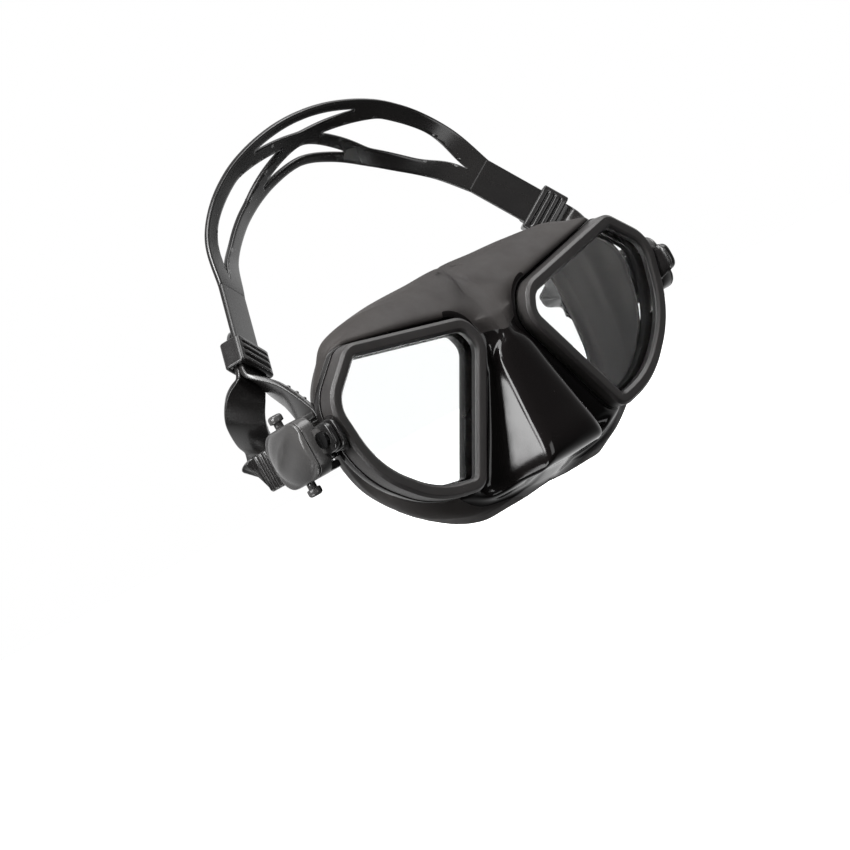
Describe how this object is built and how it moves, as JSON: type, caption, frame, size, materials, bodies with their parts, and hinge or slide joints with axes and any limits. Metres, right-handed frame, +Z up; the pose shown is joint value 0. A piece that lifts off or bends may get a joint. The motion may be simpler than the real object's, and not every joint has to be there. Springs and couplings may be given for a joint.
{
  "type": "diving mask",
  "caption": "Low-volume two-lens diving mask with a silicone skirt and nose pocket, clamping bezels, swivelling quick-release buckles and a split head strap.",
  "frame": {"origin": "centre of the face seal, where the wearer's face holds the mask", "axes": "+X to the wearer's left, +Y back towards the head, +Z up"},
  "size_m": [0.1812, 0.0667, 0.1544],
  "materials": {
    "skirt_silicone": "matte",
    "frame_plastic": "gloss",
    "bezel_plastic": "satin, fine texture",
    "glass": "polished",
    "steel": "bright",
    "strap_silicone": "gloss",
    "buckle_plastic": "satin"
  },
  "bodies": {
    "mask": {"skirt": "skirt_silicone", "carrier_frame": "frame_plastic", "bezel_left": "bezel_plastic", "bezel_right": "bezel_plastic", "lens_left": "glass", "lens_right": "glass", "hinge_pin_left": "steel", "hinge_pin_right": "steel"},
    "strap_set": {"head_strap": "strap_silicone", "buckle_housing_left": "buckle_plastic", "buckle_cover_left": "buckle_plastic", "buckle_housing_right": "buckle_plastic", "buckle_cover_right": "buckle_plastic", "button_spring_upper_left": "steel", "button_spring_lower_left": "steel", "button_spring_upper_right": "steel", "button_spring_lower_right": "steel"},
    "button_upper_left": {"release_button_upper_left": "buckle_plastic"},
    "button_lower_left": {"release_button_lower_left": "buckle_plastic"},
    "pawl_left": {"locking_pawl_left": "steel"},
    "roller_left": {"strap_roller_left": "steel"},
    "keeper_left": {"strap_keeper_left": "frame_plastic"},
    "button_upper_right": {"release_button_upper_right": "buckle_plastic"},
    "button_lower_right": {"release_button_lower_right": "buckle_plastic"},
    "pawl_right": {"locking_pawl_right": "steel"},
    "roller_right": {"strap_roller_right": "steel"},
    "keeper_right": {"strap_keeper_right": "frame_plastic"}
  },
  "joints": [
    {"name": "strap_swing", "type": "hinge", "parent": "mask", "child": "strap_set", "pos_m": [0, -0.021, 0.007], "axis": [1, 0, 0], "range_deg": [-6, 12]},
    {"name": "release_upper_left", "type": "slide", "parent": "strap_set", "child": "button_upper_left", "axis": [0, 0, -1], "range_m": [0, 0.0016], "stiffness_N_per_m": 400, "springref_m": -0.001, "deforming": ["button_spring_upper_left"]},
    {"name": "release_lower_left", "type": "slide", "parent": "strap_set", "child": "button_lower_left", "axis": [0, 0, 1], "range_m": [0, 0.0016], "stiffness_N_per_m": 400, "springref_m": -0.001, "deforming": ["button_spring_lower_left"]},
    {"name": "pawl_lift_left", "type": "hinge", "parent": "strap_set", "child": "pawl_left", "pos_m": [0.086, 0.001, 0.007], "axis": [0, 0, 1], "range_deg": [0, 7]},
    {"name": "roller_spin_left", "type": "hinge", "parent": "strap_set", "child": "roller_left", "pos_m": [0.0776, -0.0089, 0.007], "axis": [0, 0, 1], "continuous": true},
    {"name": "keeper_slide_left", "type": "slide", "parent": "strap_set", "child": "keeper_left", "axis": [0.4484, -0.2904, -0.8454], "range_m": [-0.002, 0.0012]},
    {"name": "release_upper_right", "type": "slide", "parent": "strap_set", "child": "button_upper_right", "axis": [0, 0, -1], "range_m": [0, 0.0016], "stiffness_N_per_m": 400, "springref_m": -0.001, "deforming": ["button_spring_upper_right"]},
    {"name": "release_lower_right", "type": "slide", "parent": "strap_set", "child": "button_lower_right", "axis": [0, 0, 1], "range_m": [0, 0.0016], "stiffness_N_per_m": 400, "springref_m": -0.001, "deforming": ["button_spring_lower_right"]},
    {"name": "pawl_lift_right", "type": "hinge", "parent": "strap_set", "child": "pawl_right", "pos_m": [-0.086, 0.001, 0.007], "axis": [0, 0, -1], "range_deg": [0, 7]},
    {"name": "roller_spin_right", "type": "hinge", "parent": "strap_set", "child": "roller_right", "pos_m": [-0.0776, -0.0089, 0.007], "axis": [0, 0, 1], "continuous": true},
    {"name": "keeper_slide_right", "type": "slide", "parent": "strap_set", "child": "keeper_right", "axis": [-0.4484, -0.2904, -0.8454], "range_m": [-0.002, 0.0012]}
  ],
  "couplings": [
    {"joint": "pawl_lift_left", "follows": "release_upper_left", "rad_per_m": 74.176},
    {"joint": "pawl_lift_right", "follows": "release_upper_right", "rad_per_m": 74.176}
  ]
}
